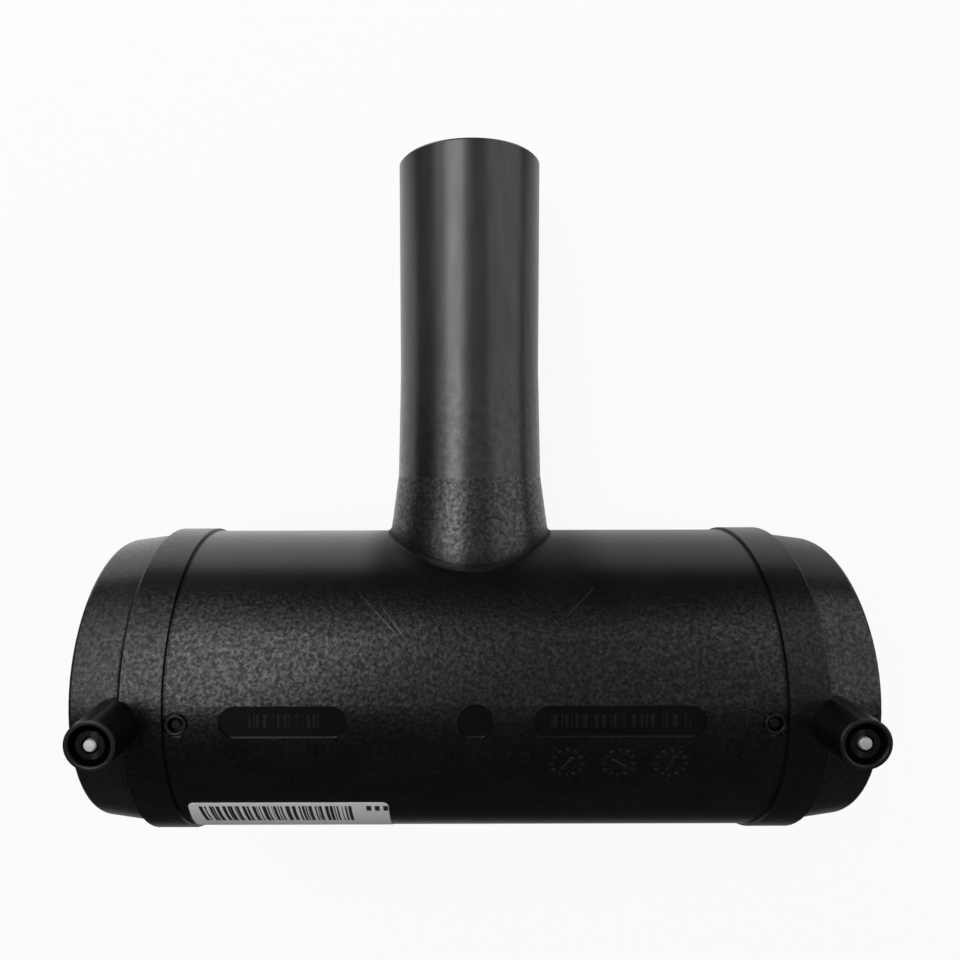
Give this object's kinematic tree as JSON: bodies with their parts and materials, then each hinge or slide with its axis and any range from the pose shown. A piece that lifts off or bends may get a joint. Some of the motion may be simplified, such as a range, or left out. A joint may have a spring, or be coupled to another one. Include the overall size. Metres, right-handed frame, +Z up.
{
  "type": "electrofusion reducing tee",
  "caption": "Black polyethylene pipe tee with a welding socket at each end of its run, shrouded terminals, fusion indicators and a narrower plain spigot as its branch.",
  "frame": {"origin": "where the axis of the run and the axis of the branch cross, at the middle of the run's bore", "axes": "+X along the run to the right as seen from the terminals; +Z up, the tee lying on its back with its terminals up; the branch points along +Y and 9 degrees down, its lip on the ground"},
  "size_m": [0.316, 0.3012, 0.153],
  "materials": {
    "black_polyethylene": "moulded black polyethylene, fine grain on the run, satin on the spigot",
    "resistance_wire": "drawn copper-nickel wire",
    "plated_brass": "turned and plated, bright",
    "indicator_plastic": "smooth moulded black",
    "white_label": "coated white film with plain black bars"
  },
  "bodies": {
    "root": {"tee_body": "black_polyethylene", "heating_wire": "resistance_wire", "terminal_pin_left": "plated_brass", "terminal_pin_right": "plated_brass", "fusion_indicator_left": "indicator_plastic", "fusion_indicator_right": "indicator_plastic", "label": "white_label"}
  },
  "joints": []
}
